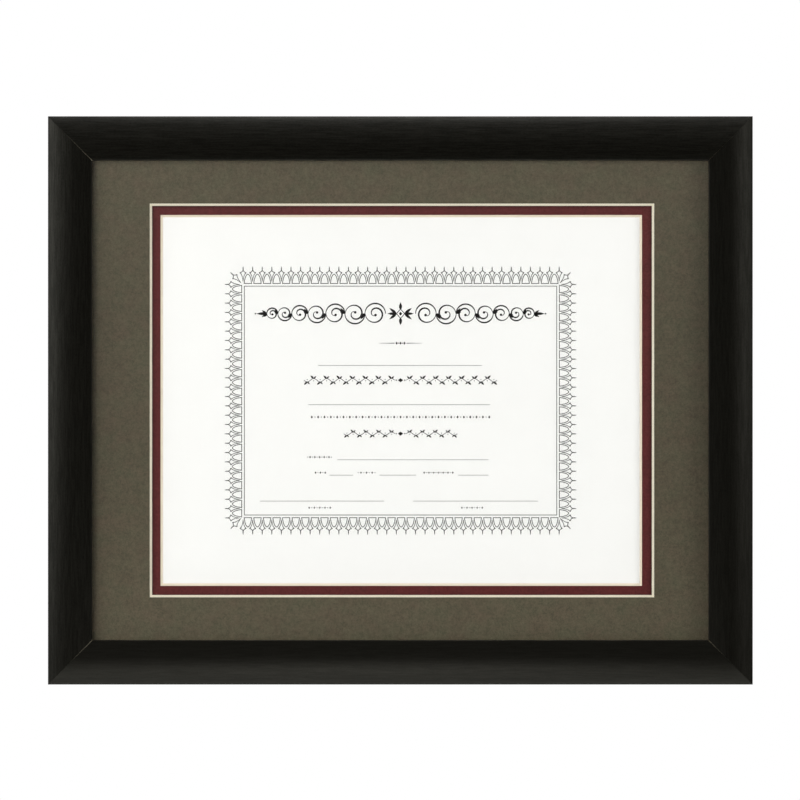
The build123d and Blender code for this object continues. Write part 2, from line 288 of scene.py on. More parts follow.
def side_lacquer_painted_light():
    """The rails' outer sides: a duller black lacquer with painted light, paler than the face's, where the
    grain shows through more.
    """
    g = Graph("side_lacquer_painted_light")
    scales = ((30, 380, 1), (60, 800, 1), (110, 1500, 1))
    grain, open_pores = lacquered_grain(g, scales, (0.8, 1.0, 0.9))
    # Painted light: the base is about ten times paler than the face's lacquer, so the sides read lighter
    colour = g.shade((0.0125, 0.012, 0.0105), 0.45, 1.55, grain)
    colour = g.blend(g.maths("MULTIPLY", open_pores, 0.6), colour, (0.004, 0.0036, 0.003))
    return g.principled(
        Base_Color=colour,
        Roughness=g.spread(grain, 0.2, 0.8, 0.52, 0.46),
        Specular_IOR_Level=0.4,
        Normal=g.bump(g.maths("SUBTRACT", grain, open_pores), 0.02 * MM, 0.4),
    )


def raw_wood():
    """Pale sanded wood of the moulding's back and rabbet, with a little black that ran over its edge."""
    g = Graph("raw_wood")
    grain = g.noise((7, 420, 1), detail=5.0, roughness=0.6, distortion=0.4, uv="grain")
    fibres = g.noise((55, 3600, 1), uv="grain")
    ragged = g.noise((38, 110, 1), uv="grain")
    colour = g.blend(g.spread(grain), (0.60, 0.43, 0.26), (0.43, 0.28, 0.15))
    colour = g.blend(g.spread(fibres, 0.45, 0.8, 0.0, 0.45), colour, (0.30, 0.19, 0.10))
    from_edge = g.parts(g.place(uv="inset"))["X"]
    wander = g.maths("ADD", from_edge, g.spread(ragged, 0.3, 0.7, -0.5 * MM, 0.5 * MM))
    painted = g.spread(wander, 0.7 * MM, 1.2 * MM, 1.0, 0.0)
    colour = g.blend(painted, colour, (0.010, 0.009, 0.008))
    height = g.maths("ADD", g.spread(fibres), g.spread(grain, 0.3, 0.7, 0.0, 0.6))
    return g.principled(
        Base_Color=colour,
        Roughness=g.spread(grain, 0.3, 0.7, 0.62, 0.74),
        Specular_IOR_Level=0.3,
        Normal=g.bump(height, 0.05 * MM, 0.5),
    )


def mitre_edge():
    """The thin broken edge of the lacquer at a mitre, where filler and a little wood show."""
    g = Graph("mitre_edge")
    inset = g.parts(g.place(uv="inset"))["X"]
    shown = g.spread(inset, 0.2 * moulding_width, 0.8 * moulding_width)
    colour = g.blend(shown, (0.03, 0.028, 0.02), (0.15, 0.138, 0.1))
    bare = g.spread(inset, 0.96 * moulding_width, moulding_width)
    colour = g.blend(bare, colour, (0.40, 0.37, 0.27))
    filled = g.spread(g.noise(900), 0.35, 0.6, 0.4, 0.0)
    colour = g.blend(filled, colour, (0.012, 0.011, 0.009))
    return g.principled(Base_Color=colour, Roughness=0.7, Specular_IOR_Level=0.2)


# Painted shade on a mat's sides: how far beside the middle it starts and is darkest, how far above and
# below it this is in full and is least, and the least on the left (-1) and on the right (1)
PAINTED_SHADE_BESIDE = (100 * MM, 165 * MM)
PAINTED_SHADE_ABOVE = (45 * MM, 125 * MM)
PAINTED_SHADE_LEAST = {-1: 0.0, 1: 0.4}


def painted_side_shade(g, tone, left_share, right_share):
    """A tone with painted shade that darkens it slowly by a share towards each side, most at the middle of
    its height.
    """
    place = g.parts(g.place(shift=-frame_centre))
    off_middle = g.maths("ABSOLUTE", place["Z"])
    for way, share in ((-1, left_share), (1, right_share)):
        level = g.spread(off_middle, *PAINTED_SHADE_ABOVE, 1.0, PAINTED_SHADE_LEAST[way])
        beside = g.spread(g.maths("MULTIPLY", place["X"], way), *PAINTED_SHADE_BESIDE)
        tone = g.shade(tone, 1.0, 1 - share, g.maths("MULTIPLY", beside, level))
    return tone


# The shade along a window's edge: from where to where it deepens, how dark it gets, and its curve
RIM_SHADE = (-2.8 * MM, -0.1 * MM)
rim_shade_least = 0.52
rim_shade_curve = 1.6
lower_rim_shift = 1.6 * MM


def rim_shaded(g, tone, half_width, half_height, middle):
    """A tone in the shade of the board above it, along that board's window edge.

    Middle is the X of the window's middle. The shade is narrower below the window.
    """
    lower_edge = half_height + lower_rim_shift
    place = g.parts(g.place(shift=(-middle, 0, -frame_centre.z)))
    beside = g.maths("SUBTRACT", g.maths("ABSOLUTE", place["X"]), half_width)
    above = g.maths("SUBTRACT", place["Z"], half_height)
    below = g.maths("SUBTRACT", g.maths("MULTIPLY", place["Z"], -1.0), lower_edge)
    nearest = g.maths("MAXIMUM", g.maths("MAXIMUM", beside, above), below)
    near = g.spread(nearest, *RIM_SHADE)
    return g.shade(tone, 1.0, rim_shade_least, g.maths("POWER", near, rim_shade_curve))


def mat_face(name, colour, depth, shaded, *numbers):
    """Uncoated face paper of a mat board: mottled, a little uneven in hue, with a fine tooth.

    Shaded is the function that paints shade into its tone slowly from place to place, with these numbers.
    """
    g = Graph(name)
    mottle = g.bands((1500, 800, 400, 190), (1.0, 0.85, 0.6, 0.3))
    hue = g.noise((85, 85, 110), roughness=0.7)
    red, green, blue = colour
    tone = g.blend(
        g.spread(hue, 0.32, 0.68),
        (red * 0.972, green * 1.036, blue),
        (red * 1.028, green * 0.962, blue * 0.975),
    )
    tone = shaded(g, g.shade(tone, 1 - depth, 1 + depth, mottle), *numbers)
    tooth = g.spread(g.noise(3600), 0.3, 0.7, 0.0, 0.6)
    return g.principled(
        Base_Color=tone,
        Roughness=0.88,
        Specular_IOR_Level=0.18,
        Normal=g.bump(g.maths("ADD", tooth, mottle), 0.03 * MM, 0.5),
    )


def mat_core(name, colour):
    """The pulp core of a mat board, seen where the bevel is cut through it."""
    g = Graph(name)
    layers = g.noise((60, 6000, 60))
    specks = g.noise((1500, 2500, 1500))
    tone = g.shade(colour, 0.95, 1.03, g.spread(layers))
    tone = g.blend(g.spread(specks, 0.6, 0.8, 0.0, 0.3), tone, times(colour, 0.82))
    return g.principled(
        Base_Color=tone,
        Roughness=0.9,
        Specular_IOR_Level=0.15,
        Normal=g.bump(specks, 0.02 * MM, 0.4),
    )


def certificate_paper():
    """Smooth white paper with the faint cloudiness of its pulp."""
    g = Graph("certificate_paper")
    cloud = g.noise(90, detail=4.0)
    return g.principled(
        Base_Color=g.shade((0.945, 0.938, 0.920), 0.992, 1.004, g.spread(cloud)),
        Roughness=0.8,
        Specular_IOR_Level=0.2,
        Normal=g.bump(g.noise(2600), 0.01 * MM, 0.15),
    )


def ink(name, colour):
    """Printed ink that thins a little here and there."""
    g = Graph(name)
    wear = g.spread(g.noise(1800, detail=2.0))
    return g.principled(
        Base_Color=g.shade(colour, 0.85, 1.25, wear), Roughness=0.6, Specular_IOR_Level=0.25
    )


def clear_glass():
    """Thin picture glass: rays pass straight through, and each face mirrors a little."""
    g = Graph("clear_glass")
    facing = g.node("ShaderNodeLayerWeight", Blend=0.5).outputs["Facing"]
    mirrored = g.spread(g.maths("POWER", facing, 5.0), 0.0, 1.0, 0.035, 0.9)
    clear = g.shade((0.991, 0.993, 0.99), 0.998, 1.002, g.noise(30))
    straight = g.node("ShaderNodeBsdfTransparent", Color=clear)
    mirror = g.node("ShaderNodeBsdfGlossy", Color=(1, 1, 1), Roughness=0.0)
    return g.ended(g.mixed(mirrored, straight.outputs["BSDF"], mirror.outputs["BSDF"]))


def plated_steel(name, colour, tint, roughness):
    """Zinc-plated sheet steel: a faint crystalline bloom, rolling marks and small scuffs."""
    g = Graph(name)
    bloom = g.node("ShaderNodeTexVoronoi", Vector=g.place((420, 420, 420)), Scale=1.0).outputs["Distance"]
    marks = g.noise((5200, 500, 380))
    scuffs = g.noise((900, 1500, 900), detail=4.0)
    tone = g.blend(g.spread(bloom, 0.1, 0.8), colour, tint)
    tone = g.blend(g.spread(scuffs, 0.6, 0.8, 0.0, 0.4), tone, times(colour, 0.72))
    return g.principled(
        Base_Color=tone,
        Metallic=1.0,
        Roughness=g.spread(marks, 0.3, 0.7, roughness - 0.06, roughness + 0.08),
        Normal=g.bump(marks, 0.01 * MM, 0.35),
    )


def hardboard():
    """Tempered hardboard: smooth brown pressed fibre with darker and paler flecks."""
    g = Graph("hardboard")
    cloud = g.noise(24, detail=4.0)
    felt = g.noise((420, 900, 420), detail=5.0, roughness=0.65, distortion=0.8)
    flecks = g.noise((1300, 1300, 460), distortion=1.0)
    tone = g.blend(g.spread(cloud), (0.205, 0.105, 0.047), (0.165, 0.081, 0.036))
    tone = g.blend(g.spread(felt, 0.38, 0.68, 0.0, 0.55), tone, (0.27, 0.15, 0.072))
    tone = g.blend(g.spread(flecks, 0.62, 0.74, 0.0, 0.6), tone, (0.085, 0.042, 0.02))
    return g.principled(
        Base_Color=tone,
        Roughness=g.spread(felt, 0.3, 0.7, 0.42, 0.55),
        Specular_IOR_Level=0.4,
        Normal=g.bump(felt, 0.02 * MM, 0.5),
    )


def fibrous(name, scale, detail, dark, pale, roughness, shine):
    """Plain board or gummed tape, whose tone follows its fibres from dark to pale."""
    g = Graph(name)
    tone = g.blend(g.spread(g.noise(scale, detail)), dark, pale)
    return g.principled(Base_Color=tone, Roughness=roughness, Specular_IOR_Level=shine)


def soft_rubber():
    """Matte charcoal rubber with a little dust on it."""
    g = Graph("soft_rubber")
    dust = g.noise(700, detail=5.0)
    tone = g.blend(g.spread(dust, 0.45, 0.8, 0.0, 0.5), (0.022, 0.022, 0.023), (0.085, 0.082, 0.078))
    return g.principled(
        Base_Color=tone,
        Roughness=0.75,
        Specular_IOR_Level=0.3,
        Normal=g.bump(dust, 0.02 * MM, 0.4),
    )


# Each rail is cut from its own stick, so its grain shows more or less than its neighbour's
GRAIN_DEPTHS = {"top": 1.2, "right": 0.85, "bottom": 0.5, "left": 1.1}
LACQUERS = {side: black_lacquer("black_lacquer_" + side, depth) for side, depth in GRAIN_DEPTHS.items()}
SIDE_LACQUER_PAINTED_LIGHT = side_lacquer_painted_light()
WOOD = raw_wood()
MITRE = mitre_edge()
# The outer mat's sides carry painted shade, a little deeper on the right than on the left
OUTER_FACE = mat_face("outer_mat_face", (0.0975, 0.084, 0.0555), 0.21, painted_side_shade, 0.135, 0.165)
OUTER_CORE = mat_core("outer_mat_core", (0.80, 0.745, 0.60))
INNER_FACE = mat_face(
    "inner_mat_face",
    (0.0945, 0.0196, 0.0198),
    0.19,
    rim_shaded,
    outer_window[0] / 2 - mat_thickness,
    outer_window[1] / 2 - mat_thickness,
    outer_window_shift,
)
INNER_CORE = mat_core("inner_mat_core", (0.79, 0.70, 0.56))
PAPER = certificate_paper()
BORDER_INK = ink("border_ink", (0.05, 0.05, 0.045))
RULE_INK = ink("rule_ink", (0.19, 0.19, 0.175))
FULL_INK = ink("full_ink", (0.006, 0.005, 0.004))
GLASS = clear_glass()
ZINC = plated_steel("zinc_plate", (0.62, 0.62, 0.60), (0.74, 0.74, 0.73), 0.32)
YELLOW_ZINC = plated_steel("yellow_zinc_plate", (0.78, 0.63, 0.36), (0.84, 0.74, 0.52), 0.30)
BRIGHT_STEEL = plated_steel("bright_steel", (0.50, 0.50, 0.49), (0.60, 0.60, 0.60), 0.35)
HARDBOARD = hardboard()
FILLER = fibrous("filler_card", 700, 5.0, (0.42, 0.31, 0.20), (0.55, 0.42, 0.28), 0.9, 0.2)
TAPE = fibrous("paper_tape", (300, 300, 2600), 3.0, (0.80, 0.78, 0.70), (0.88, 0.86, 0.80), 0.7, 0.25)
RUBBER = soft_rubber()


# Pieces

def add_piece(name, mesh, body, nodes, materials):
    """Puts a mesh into the scene on a body, in place of the named solids."""
    piece = bpy.data.objects.new(name, mesh)
    scene.collection.objects.link(piece)
    for material in materials:
        mesh.materials.append(material)
    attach(piece, body)
    if nodes:
        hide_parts(*nodes)


def mesh_of(name, vertices, faces, materials=None, smooth_below=None):
    """A mesh from corners and faces, with each face's material number and smooth shading by angle."""
    mesh = bpy.data.meshes.new(name)
    mesh.from_pydata(vertices, [], faces)
    if materials is not None:
        mesh.polygons.foreach_set("material_index", materials)
    mesh.validate()
    if smooth_below is not None:
        mesh.shade_smooth()
        mesh.set_sharp_from_angle(angle=smooth_below)
    return mesh


# Rails

def fillet(line_inset, arc_radius, radius, way, steps):
    """A rounded edge between a side of the moulding and an arc of its face, from the side onwards.

    The side lies at line_inset and the wood on the way side of it. Points are (inset, height).
    """
    arc_centre = crown_height - arc_radius
    inset = line_inset + way * radius
    height = arc_centre + sqrt((arc_radius - radius) ** 2 - (inset - crown_inset) ** 2)
    start = pi if way > 0 else 0.0
    end = atan2(height - arc_centre, inset - crown_inset)
    points = []
    for step in range(steps + 1):
        angle = start + (end - start) * step / steps
        points.append((inset + radius * cos(angle), height + radius * sin(angle)))
    return points


def arc(start, end, radius, steps):
    """The points between two insets of the face, on an arc that is level at the crown."""
    points = []
    for step in range(1, steps):
        inset = start + (end - start) * step / steps
        points.append((inset, crown_height - radius + sqrt(radius**2 - (inset - crown_inset) ** 2)))
    return points


def level_arc_radius(run, drop):
    """The radius of an arc that is level at one end and falls by drop over run."""
    return (run**2 + drop**2) / (2 * drop)


def section_points():
    """The moulding's section as (inset, height, finish) from the back's outer edge round the face.

    The finish is that of the stretch that starts at the point.
    """
    outer_radius = level_arc_radius(crown_inset, outer_shoulder_drop)
    inner_radius = level_arc_radius(moulding_width - crown_inset, crown_rise)
    outer_edge = fillet(0.0, outer_radius, outer_edge_radius, 1, steps=8)
    lip_edge = fillet(moulding_width, inner_radius, lip_edge_radius, -1, steps=6)
    lip_edge.reverse()
    face = outer_edge + arc(outer_edge[-1][0], crown_inset, outer_radius, steps=40)
    face += [(crown_inset, crown_height)]
    face += arc(crown_inset, lip_edge[0][0], inner_radius, steps=14) + lip_edge
    back = [
        (moulding_width, rabbet_depth),
        (rail_back_width, rabbet_depth),
        (rail_back_width, back_edge_radius),
        (rail_back_width - back_edge_radius, 0.0),
        (back_edge_radius, 0.0),
    ]
    # The rail's outer side takes the lacquer with painted light
    points = [(0.0, back_edge_radius, "side lacquer painted light")]
    points += [(inset, height, "lacquer") for inset, height in face]
    points += [(inset, height, "wood") for inset, height in back]
    return points


def section_normals():
    """The outward direction at each point of the section, for lowering it into the mitre's groove."""
    normals = []
    count = len(SECTION)
    for index in range(count):
        before = SECTION[index - 1]
        after = SECTION[(index + 1) % count]
        along = (after[0] - before[0], after[1] - before[1])
        length = hypot(*along)
        normals.append((-along[1] / length, along[0] / length))
    return normals


SECTION = section_points()
SECTION_NORMALS = section_normals()

# The material number of each finish on a rail
FINISH_NUMBERS = {"lacquer": 0, "wood": 1, "mitre": 2, "side lacquer painted light": 3}

# The broken edge along each mitre. By corner: how far from its inner end it shows, as a share of the
# moulding's width, and how wide it is there
mitre_gap_least = 0.03 * MM
mitre_gap_growth = 0.8
mitre_gap_depth = 0.12 * MM
back_gap = 0.08 * MM
MITRES = {
    "top_left": (0.72, 0.17 * MM),
    "top_right": (0.34, 0.08 * MM),
    "bottom_left": (0.48, 0.23 * MM),
    "bottom_right": (0.34, 0.18 * MM),
}

# Which corner each rail's start and end lie at
RAIL_CORNERS = {
    "top": ("top_left", "top_right"),
    "right": ("top_right", "bottom_right"),
    "bottom": ("bottom_right", "bottom_left"),
    "left": ("bottom_left", "top_left"),
}
rail_rings = 12
rail_smooth_angle = radians(35)


def mitre_gap(corner, inset, finish):
    """How far the lacquer stops short of the mitre at an inset."""
    if finish == "wood":
        return back_gap
    shown_share, widest = MITRES[corner]
    shown = shown_share * moulding_width
    into = max(0.0, inset - (moulding_width - shown)) / shown
    return mitre_gap_least + (widest - mitre_gap_least) * into**mitre_gap_growth


def rail_vertices(side):
    """The rings of a rail's mesh, and how many they are.

    Each end has a ring in the mitre's plane, lowered into its groove, and one where the lacquer stops.
    """
    along, outward, length, reach = SIDES[side]
    edge = frame_centre + outward * reach
    start_corner, end_corner = RAIL_CORNERS[side]
    rings = [(-1, start_corner, True), (-1, start_corner, False)]
    rings += [(2 * step / rail_rings - 1, None, False) for step in range(1, rail_rings)]
    rings += [(1, end_corner, False), (1, end_corner, True)]
    vertices = []
    for share, corner, lowered in rings:
        for (inset, height, finish), normal in zip(SECTION, SECTION_NORMALS):
            gap = 0.0 if lowered or corner is None else mitre_gap(corner, inset, finish)
            drop = mitre_gap_depth if lowered else 0.0
            place = along * (share * (length / 2 - inset - gap)) - outward * (inset - normal[0] * drop)
            vertices.append(edge + place + Vector((0, normal[1] * drop - height, 0)))
    return vertices, len(rings)


def map_rail(mesh, side, turn):
    """Lays two UV maps on a rail: its grain, along and round it, and the inset from its outer edge."""
    along, outward, length, reach = SIDES[side]
    edge = frame_centre + outward * reach
    count = len(SECTION)
    round_section = [0.0]
    for index in range(count):
        here, following = SECTION[index], SECTION[(index + 1) % count]
        round_section.append(round_section[-1] + hypot(following[0] - here[0], following[1] - here[1]))
    grain_map = mesh.uv_layers.new(name="grain")
    inset_map = mesh.uv_layers.new(name="inset")
    for polygon in mesh.polygons:
        is_cap = polygon.loop_total == count
        stretch = polygon.index % count
        starts = (stretch, stretch, stretch + 1, stretch + 1)
        for corner, loop in enumerate(polygon.loop_indices):
            offset = mesh.vertices[mesh.loops[loop].vertex_index].co - edge
            inset = -offset.dot(outward)
            round_face = inset if is_cap else round_section[starts[corner]]
            grain_map.data[loop].uv = (offset.dot(along) + turn * length, round_face)
            inset_map.data[loop].uv = (max(inset, 0.0), 0.0)


def make_rail(side, turn):
    """One rail: its section along its length, mitred, with a fine groove at each end."""
    vertices, ring_count = rail_vertices(side)
    count = len(SECTION)
    last = ring_count - 1
    faces, materials = [], []
    for row in range(last):
        in_groove = row in (0, last - 1)
        for index in range(count):
            following = (index + 1) % count
            here, beyond = row * count, (row + 1) * count
            faces.append((here + index, beyond + index, beyond + following, here + following))
            finish = SECTION[index][2]
            if in_groove and finish == "lacquer":
                finish = "mitre"
            materials.append(FINISH_NUMBERS[finish])
    faces.append(list(range(count)))
    faces.append(list(range(last * count, ring_count * count))[::-1])
    materials += [FINISH_NUMBERS["wood"]] * 2
    name = "rail_" + side
    mesh = mesh_of(name, vertices, faces, materials, rail_smooth_angle)
    map_rail(mesh, side, turn)
    finishes = (LACQUERS[side], WOOD, MITRE, SIDE_LACQUER_PAINTED_LIGHT)
    add_piece(name, mesh, "frame", ["moulding_" + side], finishes)


for turn, side in enumerate(SIDES):
    make_rail(side, turn)


# Mats

def make_mat(node, window, shift, face_and_core):
    """A mat board whose window is cut at 45 degrees through its coloured face and its pale core."""
    low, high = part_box(node)
    front, back = low.y + mat_set_back, high.y
    half_x, half_z = (glass_high.x - glass_low.x) / 2, (glass_high.z - glass_low.z) / 2
    window_x, window_z = window[0] / 2, window[1] / 2
    loops = [(half_x, half_z, back, 0.0), (half_x, half_z, front, 0.0)]
    for step in range(cut_edge_steps + 1):
        angle = radians(45) * step / cut_edge_steps
        reach = cut_edge_reach * (1 - sin(angle))
        depth = cut_edge_round * (1 - cos(angle))
        loops.append((window_x + reach, window_z + reach, front + depth, shift))
    for depth in (face_paper_thickness, back - front):
        loops.append((window_x - depth, window_z - depth, front + depth, shift))
    vertices = []
    for reach_x, reach_z, y, offset in loops:
        for way_x, way_z in CORNERS:
            vertices.append((offset + way_x * reach_x, y, frame_centre.z + way_z * reach_z))
    faces, numbers = [], []
    for row in range(len(loops)):
        here, beyond = 4 * row, 4 * ((row + 1) % len(loops))
        for corner in range(4):
            beside = (corner + 1) % 4
            faces.append((here + corner, here + beside, beyond + beside, beyond + corner))
            numbers.append(0 if 1 <= row < len(loops) - 2 else 1)
    mesh = mesh_of(node, vertices, faces, numbers)
    add_piece(node + "_board", mesh, "frame", [node], face_and_core)


make_mat("outer_mat", outer_window, outer_window_shift, (OUTER_FACE, OUTER_CORE))
make_mat("inner_mat", inner_window, inner_window_shift, (INNER_FACE, INNER_CORE))


# Solids that keep their shape

KEPT_FINISHES = {
    "glass_pane": GLASS,
    "certificate_sheet": PAPER,
    "certificate_hinge_tapes": TAPE,
    "mat_bonding_tape": TAPE,
    "filler_board": FILLER,
    "backing_board": HARDBOARD,
}
for node, material in KEPT_FINISHES.items():
    solid = frame["nodes"][node]
    solid.data.materials.clear()
    solid.data.materials.append(material)


# Hardware

weld_distance = 0.0005 * MM
flat_angle = radians(1)
hard_angle = radians(30)


def softened(name, node, body, material, width):
    """A copy of a solid with its sharp edges rounded off by a width."""
    mesh = frame["nodes"][node].data.copy()
    mesh.name = name
    mesh.materials.clear()
    work = bmesh.new()
    work.from_mesh(mesh)
    bmesh.ops.remove_doubles(work, verts=work.verts, dist=weld_distance)
    bmesh.ops.dissolve_limit(work, angle_limit=flat_angle, verts=work.verts, edges=work.edges)
    sharp = [edge for edge in work.edges if edge.is_manifold and edge.calc_face_angle() > hard_angle]
    bmesh.ops.bevel(
        work,
        geom=sharp,
        offset=width,
        offset_type="OFFSET",
        segments=2,
        profile=0.5,
        affect="EDGES",
        clamp_overlap=True,
    )
    work.to_mesh(mesh)
    work.free()
    for layer in list(mesh.uv_layers):
        mesh.uv_layers.remove(layer)
    mesh.shade_smooth()
    mesh.set_sharp_from_angle(angle=hard_angle)
    add_piece(name, mesh, body, [node], [material])


for body in frame["bodies"]:
    if body.startswith("turn_button_"):
        softened(body + "_plate", body, body, ZINC, 0.15 * MM)

# Each piece's name, the node that it replaces, its slot, its material and its edges' width
FIXED_HARDWARE = (
    ("turn_button_screw_heads", "turn_button_screws", "screw_steel", ZINC, 0.08 * MM),
    ("hanger_top", "sawtooth_hanger_top", "hanger_steel", YELLOW_ZINC, 0.1 * MM),
    ("hanger_side", "sawtooth_hanger_side", "hanger_steel", YELLOW_ZINC, 0.1 * MM),
    ("hanger_nail_heads", "hanger_nails", "nail_steel", BRIGHT_STEEL, 0.08 * MM),
    ("corner_nails", "corner_v_nails", "nail_steel", BRIGHT_STEEL, 0.05 * MM),
    ("bumpers", "wall_bumpers", "bumper_rubber", RUBBER, 0.5 * MM),
)
for name, node, slot, material, width in FIXED_HARDWARE:
    softened(name, node, "frame", material, width)


# The print on the certificate

print_centre = frame_centre + Vector((0.1 * MM, 0, -0.1 * MM))
ink_lift = 0.04 * MM
print_plane = certificate_low.y - ink_lift
rule_half_width = 87.33 * MM
rule_half_height = 63.98 * MM
rule_line = 0.45 * MM
star_pitch_x = 5.356 * MM
star_pitch_z = 5.222 * MM
stars_across = 34
stars_down = 26
star_drift = 0.33 * MM
border_line = 0.42 * MM

# How far a joint of two strokes is stretched at most, and the least cosine that it allows for
most_stretch = 2.0
least_cosine = 0.4
folded_back = 0.1
dot_sides = 14


def unit(start, end):
    """The direction from one point to another, or nothing where they are the same."""
    x, z = end[0] - start[0], end[1] - start[1]
    length = hypot(x, z)
    return (x / length, z / length) if length else None


class Print:
    """Gathers flat inked shapes, as (x, z) about the print's centre, and makes one mesh of them."""

    def __init__(self):
        self.vertices = []
        self.faces = []

    def corner(self, x, z):
        self.vertices.append((print_centre.x + x, print_plane, print_centre.z + z))

    def stroke(self, points, widths, closed=False):
        """A line through points, of one width or as wide as widths says at each."""
        count = len(points)
        if not isinstance(widths, (list, tuple)):
            widths = [widths] * count
        first = len(self.vertices)
        for index, (x, z) in enumerate(points):
            before = points[index - 1] if closed or index > 0 else points[0]
            after = points[(index + 1) % count] if closed or index < count - 1 else points[-1]
            ahead = unit((x, z), after)
            behind = unit(before, (x, z)) or ahead
            ahead = ahead or behind
            middle = (ahead[0] + behind[0], ahead[1] + behind[1])
            length = hypot(*middle)
            if length < folded_back:
                middle, length = ahead, 1.0
            middle = (middle[0] / length, middle[1] / length)
            cosine = middle[0] * ahead[0] + middle[1] * ahead[1]
            half = widths[index] / 2 * min(1 / max(cosine, least_cosine), most_stretch)
            for way in (-1, 1):
                self.corner(x - way * middle[1] * half, z + way * middle[0] * half)
        for index in range(count if closed else count - 1):
            a = first + 2 * index
            b = first + 2 * ((index + 1) % count)
            self.faces.append((a, b, b + 1, a + 1))

    def shape(self, points):
        """A filled convex outline."""
        first = len(self.vertices)
        for point in points:
            self.corner(*point)
        self.faces.append(tuple(range(first, first + len(points))))

    def dot(self, x, z, radius):
        angles = [2 * pi * step / dot_sides for step in range(dot_sides)]
        self.shape([(x + radius * cos(angle), z + radius * sin(angle)) for angle in angles])

    def finish(self, name, material):
        """Makes the mesh, with every face towards the front."""
        mesh = mesh_of(name, self.vertices, self.faces)
        work = bmesh.new()
        work.from_mesh(mesh)
        for face in work.faces:
            if face.normal.y > 0:
                face.normal_flip()
        work.to_mesh(mesh)
        work.free()
        add_piece(name, mesh, "frame", [], [material])


def curve(controls, steps):
    """Points along a Bezier curve with these control points."""
    points = []
    for step in range(steps + 1):
        t = step / steps
        level = controls
        while len(level) > 1:
            level = [(a[0] + t * (b[0] - a[0]), a[1] + t * (b[1] - a[1])) for a, b in zip(level, level[1:])]
        points.append(level[0])
    return points


def placed(points, base, out):
    """Turns points (sideways, outwards) so that outwards is the direction out from a base point."""
    return [(base[0] + out[1] * s + out[0] * o, base[1] - out[0] * s + out[1] * o) for s, o in points]


def in_mm(*points):
    return [(x * MM, z * MM) for x, z in points]


# A star's and an arch's points, in mm to the side and outwards from the inner rule. A star's edges
# run from its spike to its side point, and from there to its foot
STAR_SPIKE = in_mm((0, 11.0), (0, 10.125), (0, 9.25))
STAR_SPIKE_WIDTHS = [0.45 * border_line, 1.2 * border_line, 1.35 * border_line]
STAR_UPPER_EDGE = in_mm((0, 9.25), (0.18, 7.95), (1.79, 7.55))
STAR_LOWER_EDGE = in_mm((1.79, 7.55), (0.32, 6.6), (0, 2.6))
star_upper_steps = 10
star_lower_steps = 12
STAR_LOWER_WIDTHS = [border_line * (1 - 0.025 * step) for step in range(star_lower_steps + 1)]
STAR_SIDE_POINT = in_mm((1.91, 7.6), (1.04, 7.83), (1.17, 7.13))
ARCH_EDGE = in_mm((-2.07, 1.5), (-1.85, 3.3), (-1.45, 6.05), (-0.12, 6.7))
arch_steps = 12


def draw_star(sheet, base, out):
    """A slender four-pointed star: a spike outwards, two short side points and a long foot."""
    sheet.stroke(placed(STAR_SPIKE, base, out), STAR_SPIKE_WIDTHS)
    for way in (-1, 1):
        upper = [(way * x, z) for x, z in curve(STAR_UPPER_EDGE, star_upper_steps)]
        lower = [(way * x, z) for x, z in curve(STAR_LOWER_EDGE, star_lower_steps)]
        point = [(way * x, z) for x, z in STAR_SIDE_POINT]
        sheet.stroke(placed(upper, base, out), border_line)
        sheet.stroke(placed(lower, base, out), STAR_LOWER_WIDTHS)
        sheet.shape(placed(point, base, out))


def draw_arch(sheet, base, out):
    """A pointed arch whose sides flare to a straight foot."""
    left = curve(ARCH_EDGE, arch_steps)
    right = [(-x, z) for x, z in reversed(left)]
    sheet.stroke(placed(left + right, base, out), border_line, closed=True)


def draw_border(sheet):
    """Stars and arches in turn round the inner rule, with a slanting star at each corner."""
    for out, reach, pitch, drift, count in (
        ((0, 1), rule_half_height, star_pitch_x, star_drift, stars_across),
        ((0, -1), rule_half_height, star_pitch_x, star_drift, stars_across),
        ((1, 0), rule_half_width, star_pitch_z, -star_drift, stars_down),
        ((-1, 0), rule_half_width, star_pitch_z, -star_drift, stars_down),
    ):
        along = (abs(out[1]), abs(out[0]))
        for index in range(2 * count - 1):
            place = (index / 2 - (count - 1) / 2) * pitch + drift
            base = (out[0] * reach + along[0] * place, out[1] * reach + along[1] * place)
            draw = draw_star if index % 2 == 0 else draw_arch
            draw(sheet, base, out)
    slant = sqrt(0.5)
    for way_x in (-1, 1):
        for way_z in (-1, 1):
            corner = (way_x * rule_half_width, way_z * rule_half_height)
            draw_star(sheet, corner, (way_x * slant, way_z * slant))


def diamond(x, z, half_width, half_height):
    return [(x - half_width, z), (x, z - half_height), (x + half_width, z), (x, z + half_height)]


def leaf(x, z, lean, side, length, width):
    """A pointed leaf from its foot at (x, z), at a lean in degrees to the right (side 1) or left (-1)."""
    angle = radians(lean) if side > 0 else pi - radians(lean)
    steps = 8
    points = []
    for way in (1, -1):
        for step in range(steps):
            along = step / steps if way > 0 else 1 - step / steps
            across = way * width / 2 * sin(pi * along**0.8)
            points.append((
                x + length * along * cos(angle) - across * sin(angle),
                z + length * along * sin(angle) + across * cos(angle),
            ))
    return points


def volute(sheet, x, z, radius, start, way, line):
    """A spiral that winds inwards from its rim at a start angle and ends in a ball."""
    turns, steps = 1.28, 44
    core = 0.14
    points, widths = [], []
    for step in range(steps + 1):
        share = step / steps
        angle = start + way * 2 * pi * turns * share
        reach = radius * ((1 - core) * (1 - share) ** 0.85 + core)
        points.append((x + reach * cos(angle), z + reach * sin(angle)))
        widths.append(line * (0.45 + 0.75 * sin(pi * min(1.0, share * 1.15)) ** 1.2))
    sheet.stroke(points, widths)
    sheet.dot(*points[-1], line * 0.95)


